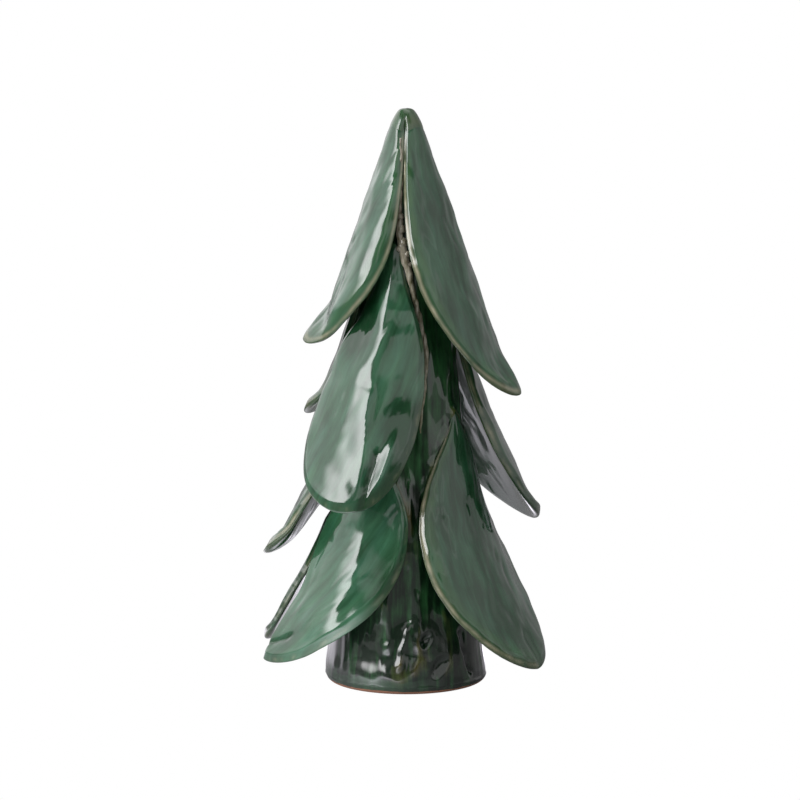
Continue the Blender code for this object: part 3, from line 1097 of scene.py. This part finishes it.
columns = np.linspace(-math.pi, math.pi, CONE_COLUMNS, endpoint=False)
turns = np.tile(columns, len(profile))
radii = np.repeat(profile[:, 0], CONE_COLUMNS)
heights = np.repeat(profile[:, 1], CONE_COLUMNS)
is_outside = np.repeat(np.arange(len(profile)) < len(outside), CONE_COLUMNS)
flutes = ring_noise(22, 60, 1.0) + 0.4 * ring_noise(60, 45, 4.0)
lumps = 0.8 * ring_noise(12, 24, 7.0)
turns_wander = np.degrees(turns) + CONE_WANDER * ring_noise(30, 7, 12.0)
touched = pressed(CONE_TOUCHES, turns_wander, heights + CONE_WANDER * ring_noise(30, 7, 15.0))
raised = (touched + (flutes + lumps) * ease_in((FLUTES_END - heights) / 20.0)) * ease_in(heights / 5.0)
roll = GLAZE_ROLL * np.exp(-((heights - GLAZE_ROLL_HEIGHT) / GLAZE_ROLL_WIDTH) ** 2)
raised = (raised + roll) * is_outside
print("raised by", round(float(raised.min()), 2), "to", round(float(raised.max()), 2), "mm")

# %% [markdown]
# Where a slab meets the cone, the potter smeared luting clay round its edge. A search tree holds all slab
# points that lie close to the wall, and each point of the cone asks it how far the nearest one is. The
# closer a slab, the more the wall swells, so the two seem to grow into each other.

# %% Luting clay round the seats
LUTING_RAISE = 1.3
LUTING_REACH = 2.4
LUTING_END = 268.0
FAR_AWAY = 99.0


def round_the_axis(radius, turn, height):
    """Places in millimetres for radii, turns from the front and heights."""
    return np.stack([radius * np.sin(turn), -radius * np.cos(turn), height], axis=1)


seat_points = []
for mesh in slab_meshes:
    places = places_in_mm(mesh)
    off_wall = np.hypot(places[:, 0], places[:, 1]) - wall_radius(places[:, 2])
    seat_points.extend(places[off_wall < LUTING_REACH])
seats = KDTree(len(seat_points))
for count, place in enumerate(seat_points):
    seats.insert(place, count)
seats.balance()
wall = round_the_axis(radii, turns, heights)
to_seat = np.array([seats.find(place)[2] if out else FAR_AWAY for place, out in zip(wall, is_outside)])
luting = LUTING_RAISE * np.exp(-(to_seat / LUTING_REACH) ** 2) * (0.8 + 1.2 * ring_noise(40, 6, 20.0))
raised = raised + luting * ease_in((LUTING_END - heights) / 12.0)
print("points near a seat", len(seat_points))

# %% [markdown]
# Neighbouring rings are joined by four-cornered faces, and a fan of triangles closes the tip and the roof
# of the hollow. The order of the corners decides which way a face looks, so it is the same everywhere. The
# glaze needs to know what is raised and what is inside, and both are stored on the points.

# %% The cone as one closed mesh
rings = len(profile)
last_ring = (rings - 1) * CONE_COLUMNS
tip_point = rings * CONE_COLUMNS
roof_point = tip_point + 1
columns_beside = [(column, (column + 1) % CONE_COLUMNS) for column in range(CONE_COLUMNS)]
faces = []
for above in range(0, last_ring, CONE_COLUMNS):
    below = above + CONE_COLUMNS
    for column, beside in columns_beside:
        faces.append((above + column, below + column, below + beside, above + beside))
for column, beside in columns_beside:
    faces.append((tip_point, column, beside))
    faces.append((roof_point, last_ring + beside, last_ring + column))
points = np.vstack([round_the_axis(radii + raised, turns, heights), [0, 0, TREE_HEIGHT], [0, 0, HOLLOW_TOP]])
is_inside = np.repeat(np.arange(rings) >= len(outside) + len(foot), CONE_COLUMNS).astype(float)
cone_mesh = bpy.data.meshes.new("thrown_cone_glazed")
cone_mesh.from_pydata((points * MM).tolist(), [], faces)
cone_mesh.shade_smooth()
for label, values, tip, roof in (("raised", raised, 0.0, 0.0), ("inside", is_inside, 0.0, 1.0)):
    stored = cone_mesh.attributes.new(label, "FLOAT", "POINT")
    stored.data.foreach_set("value", np.append(values, [tip, roof]))
cone_mesh.materials.append(cone_glaze)
cone_piece = bpy.data.objects.new(cone_mesh.name, cone_mesh)
bpy.context.scene.collection.objects.link(cone_piece)
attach(cone_piece, "root")
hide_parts("thrown_cone")
print(cone_piece.name, len(faces), "faces")

# %% [markdown]
# Where a slab was luted on, a little slip squeezed out and was never wiped away. It is nearly bare clay,
# cream with brown stains, and the dipped glaze only tints its lower end olive. Its bright cream also stands
# in for the glints on the crumpled slip, a painted highlight.

# %% The glaze of the slip
SLIP_BROWN = (0.110, 0.100, 0.040)
SLIP_CREAM_AND_GLINT = (0.56, 0.52, 0.40)
SLIP_TINT_BELOW = 168.0

slip_glaze, tree_s, slip_shader = start_glaze("slip_glaze", 0.05)
slip_x, slip_y, slip_z = place_in_mm(tree_s)
crumpled = cloud(tree_s, slip_x / 1.6, slip_y / 1.6, slip_z / 5.0, detail=2.0)
# Cream and brown by noise; the cream is partly a painted highlight for the slip's glints.
stains_and_glints = mix(tree_s, clipped(0.55 + crumpled * 0.9), SLIP_BROWN, SLIP_CREAM_AND_GLINT)
tint = clipped((SLIP_TINT_BELOW - slip_z) / 20.0) * 0.6
tree_s.links.new(mix(tree_s, tint, stains_and_glints, OLIVE), slip_shader.inputs["Base Color"])
print("slip glaze", len(tree_s.nodes), "nodes")

# %% [markdown]
# The slip lies as a crumpled ridge along the seam right of the front slab, and a second one runs up
# between the crown slabs. A curve with a thickness at each of its points is the quick way to such a coil.
# Its points are degrees from the front, heights and half thicknesses in millimetres, set down one by one.

# %% The coils of slip along the seams
SEAM_PATH = [
    (-12, 230, 1.2), (-11, 222, 1.9), (-8, 216, 2.2), (-4, 212, 1.8), (-1, 207.5, 2.2), (3.5, 203, 1.6),
    (6.5, 198, 1.6), (10.5, 190.5, 1.0), (14.5, 184, 1.4), (18.5, 177, 0.9), (23, 166, 1.3),
    (22, 156.5, 0.9), (18, 145.5, 1.0), (16, 139, 0.9), (13, 126, 0.4)]
CROWN_SEAM_PATH = [(-18, 266, 0.6), (-13.8, 256, 1.1), (-11, 244, 1.3), (-11.4, 234, 1.2), (-13, 227, 0.6)]


def on_cone(turn_degrees, height, lift):
    """A place at a lift off the cone's wall."""
    turn = math.radians(turn_degrees)
    radius = wall_radius(height) + lift
    return radius * math.sin(turn), -radius * math.cos(turn), height


coil = bpy.data.curves.new("seam_coil", "CURVE")
coil.dimensions = "3D"
coil.bevel_depth = 1.0
coil.bevel_resolution = 8
coil.resolution_u = 24
coil.use_fill_caps = True
for path, lift in ((SEAM_PATH, 1.2), (CROWN_SEAM_PATH, 2.0)):
    run = coil.splines.new("NURBS")
    run.points.add(len(path) - 1)
    run.use_endpoint_u = True
    for point, (turn_degrees, height, thick) in zip(run.points, path):
        point.co = (*on_cone(turn_degrees, height, lift), 1.0)
        point.radius = thick
coil_object = bpy.data.objects.new("seam_coil", coil)
bpy.context.scene.collection.objects.link(coil_object)
ready = bpy.context.evaluated_depsgraph_get()
seam_mesh = bpy.data.meshes.new_from_object(coil_object.evaluated_get(ready))
bpy.data.objects.remove(coil_object)
print("coils", len(seam_mesh.polygons), "faces")

# %% [markdown]
# A few crumbs lie at the top of the seam. They are balls of many faces, put into the same mesh as the
# coils. Coarse and fine noise then pushes every point about, and the smooth coil turns into crumpled clay.
# This kind of noise starts from the clock unless it gets a seed, so a fixed one keeps all runs alike.

# %% Crumbs, and the slip as one piece
CRUMBS = [(-11, 229, 1.8), (-7, 223, 2.2), (-4, 217, 2.4), (1, 211, 1.8), (-10, 214, 1.8), (5, 206, 1.4)]
CRUMB_LIFT = 1.4
SEAM_ROUGHNESS = 0.5
SEAM_CELL = 4.5
SEAM_SEED = 7
SEAM_FINE_CELL = 2.4

noise.seed_set(SEAM_SEED)
shape = bmesh.new()
shape.from_mesh(seam_mesh)
for turn_degrees, height, size_mm in CRUMBS:
    crumb = bmesh.ops.create_icosphere(shape, subdivisions=4, radius=size_mm)
    bmesh.ops.translate(shape, vec=on_cone(turn_degrees, height, CRUMB_LIFT), verts=crumb["verts"])
for vertex in shape.verts:
    vertex.co += SEAM_ROUGHNESS * noise.noise_vector(vertex.co / SEAM_CELL)
    vertex.co += SEAM_ROUGHNESS * 0.4 * noise.noise_vector(vertex.co / SEAM_FINE_CELL)
    vertex.co *= MM
shape.normal_update()
shape.to_mesh(seam_mesh)
shape.free()
seam_mesh.name = "seam_slip"
seam_mesh.shade_smooth()
seam_mesh.materials.clear()
seam_mesh.materials.append(slip_glaze)
seam_piece = bpy.data.objects.new("seam_slip", seam_mesh)
bpy.context.scene.collection.objects.link(seam_piece)
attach(seam_piece, "root")
print(seam_piece.name, len(seam_mesh.polygons), "faces")

# %% [markdown]
# The tree stands on a pale floor, which isn't part of it. A glossy glaze mirrors the floor as much as the
# room, so what the glaze sees of it matters most: grey paper with a few soft lit patches. Each patch lies
# where a slab shows a light from below. Its values are a place, two half widths in millimetres and a
# strength. Lamps near the floor would be mirrored themselves, as hard spots.

# %% The floor and its lit patches
PAPER_GREY = (0.25, 0.25, 0.25, 1.0)
PATCH_LIGHT = (0.94, 0.9, 1.0, 1.0)
FLOOR_HALF_METRES = 20.0
LIT_PATCHES = {
    "in front": (-20.0, -110.0, 90.0, 75.0, 0.3),
    "far back": (-150.0, 120.0, 90.0, 90.0, 1.6),
    "front left": (-52.0, -100.0, 34.0, 42.0, 2.8),
    "behind": (20.0, 78.0, 38.0, 38.0, 6.0),
    "left corner": (-120.0, -85.0, 60.0, 60.0, 1.6),
}

floor_mesh = bpy.data.meshes.new("floor")
shape = bmesh.new()
bmesh.ops.create_grid(shape, x_segments=1, y_segments=1, size=FLOOR_HALF_METRES)
shape.to_mesh(floor_mesh)
shape.free()
floor = bpy.data.objects.new("floor", floor_mesh)
bpy.context.scene.collection.objects.link(floor)
paper = bpy.data.materials.new("paper")
paper.use_nodes = True
tree_p = paper.node_tree
paper_shader = tree_p.nodes["Principled BSDF"]
paper_shader.inputs["Base Color"].default_value = PAPER_GREY
paper_shader.inputs["Roughness"].default_value = 0.9
paper_shader.inputs["Emission Color"].default_value = PATCH_LIGHT
floor_x, floor_y = place_in_mm(tree_p)[:2]
lit_floor = 0.0
for x, y, half_x, half_y, strength in LIT_PATCHES.values():
    lit_floor = lit_floor + bell(floor_x - x, half_x) * bell(floor_y - y, half_y) * strength
plug(tree_p, lit_floor, paper_shader.inputs["Emission Strength"])
print("floor with", len(LIT_PATCHES), "lit patches")

# %% [markdown]
# The photo shows no edge of the floor, only white. So the camera gets a pure white floor, while every
# mirrored ray still gets the grey paper. The Light Path node tells the two kinds of ray apart.

# %% White for the camera alone
pure_white = tree_p.nodes.new("ShaderNodeEmission")
choose = tree_p.nodes.new("ShaderNodeMixShader")
ray_kind = tree_p.nodes.new("ShaderNodeLightPath")
tree_p.links.new(ray_kind.outputs["Is Camera Ray"], choose.inputs["Fac"])
tree_p.links.new(paper_shader.outputs["BSDF"], choose.inputs[1])
tree_p.links.new(pure_white.outputs["Emission"], choose.inputs[2])
tree_p.links.new(choose.outputs["Shader"], tree_p.nodes["Material Output"].inputs["Surface"])
floor_mesh.materials.append(paper)
print("paper", len(tree_p.nodes), "nodes")

# %% [markdown]
# The room is drawn in the sky, as soft light walls at given directions, because a glaze shows its room
# above all. Directions are degrees round from the front, growing to the right, and degrees above the
# horizon. Two helpers make soft-edged bands out of them.

# %% Directions in the room
world = bpy.data.worlds.new("studio")
world.use_nodes = True
sky = world.node_tree
bpy.context.scene.world = world
looking = sky.nodes.new("ShaderNodeTexCoord")
looking_parts = sky.nodes.new("ShaderNodeSeparateXYZ")
sky.links.new(looking.outputs["Generated"], looking_parts.inputs[0])
look_x, look_y, look_z = (Field(sky, socket) for socket in looking_parts.outputs)
azimuth = sum_node(sky, "ARCTAN2", look_x, -look_y) * (180.0 / math.pi)
elevation = sum_node(sky, "ARCSINE", look_z) * (180.0 / math.pi)


def step_up(value, start, end):
    """From 0 at start to 1 at end, softly."""
    node = value.tree.nodes.new("ShaderNodeMapRange")
    node.interpolation_type = "SMOOTHSTEP"
    value.tree.links.new(value.socket, node.inputs["Value"])
    node.inputs["From Min"].default_value = start
    node.inputs["From Max"].default_value = end
    return Field(value.tree, node.outputs["Result"])


def band(value, low, high, soft):
    """1 between low and high, with soft ends."""
    return step_up(value, low - soft, low + soft) * (1.0 - step_up(value, high - soft, high + soft))


print("sky directions", len(sky.nodes), "nodes")

# %% [markdown]
# The key is a tall bright window at the front left, beside a broad pale wall. It gives the hard highlights
# on the ridges. A dimmer light in front has a gap in its lower middle, which keeps the pool in the front
# slab dark. Weak walls at the right and behind, and a pale ceiling, keep the other sides from going black.

# %% The light walls of the room
DIM_ROOM = 0.05
KEY = 7.2
FRONT = 0.72
RIGHT_WALL = 0.62
BACK_LEFT = 0.75
BACK_RIGHT = 0.22

left_wall = (0.1 + 1.25 * step_up(elevation, 0, 9)) * band(azimuth, -150, -72, 10)
left_wall = left_wall * band(elevation, -40, 43, 3)
key = KEY * step_up(azimuth, -82, -56) * (1.0 - step_up(azimuth, -47, -41)) * band(elevation, 8, 43, 3)
front_gap = band(azimuth, -9, 12, 4) * (1.0 - step_up(elevation, 15, 19))
front_light = FRONT * band(azimuth, -26, 50, 6) * band(elevation, 9, 40, 3) * (1.0 - front_gap)
right_wall = RIGHT_WALL * band(azimuth, 46, 146, 10) * (1.0 - 0.45 * step_up(azimuth, 82, 108))
back_left = BACK_LEFT * band(azimuth, -190, -146, 8)
back_right = BACK_RIGHT * band(azimuth, 146, 190, 8)
ceiling = step_up(elevation, 56, 76)
light = DIM_ROOM + left_wall + key + front_light + right_wall + back_left + back_right + ceiling
print("sky", len(sky.nodes), "nodes")

# %% [markdown]
# Only the glaze sees the room. To the camera the sky is plain white, as a studio's paper backdrop is. The
# Standard view leaves white as white, where the usual film look would turn it grey.

# %% What the camera sees, and the view
background = sky.nodes["Background"]
background.inputs["Color"].default_value = (1.0, 0.98, 1.0, 1.0)
seen = sky.nodes.new("ShaderNodeLightPath")
camera_sees = Field(sky, seen.outputs["Is Camera Ray"])
sky.links.new((light * (1.0 - camera_sees) + camera_sees).socket, background.inputs["Strength"])
bpy.context.scene.view_settings.view_transform = "Standard"
print("view", bpy.context.scene.view_settings.view_transform)

# %% [markdown]
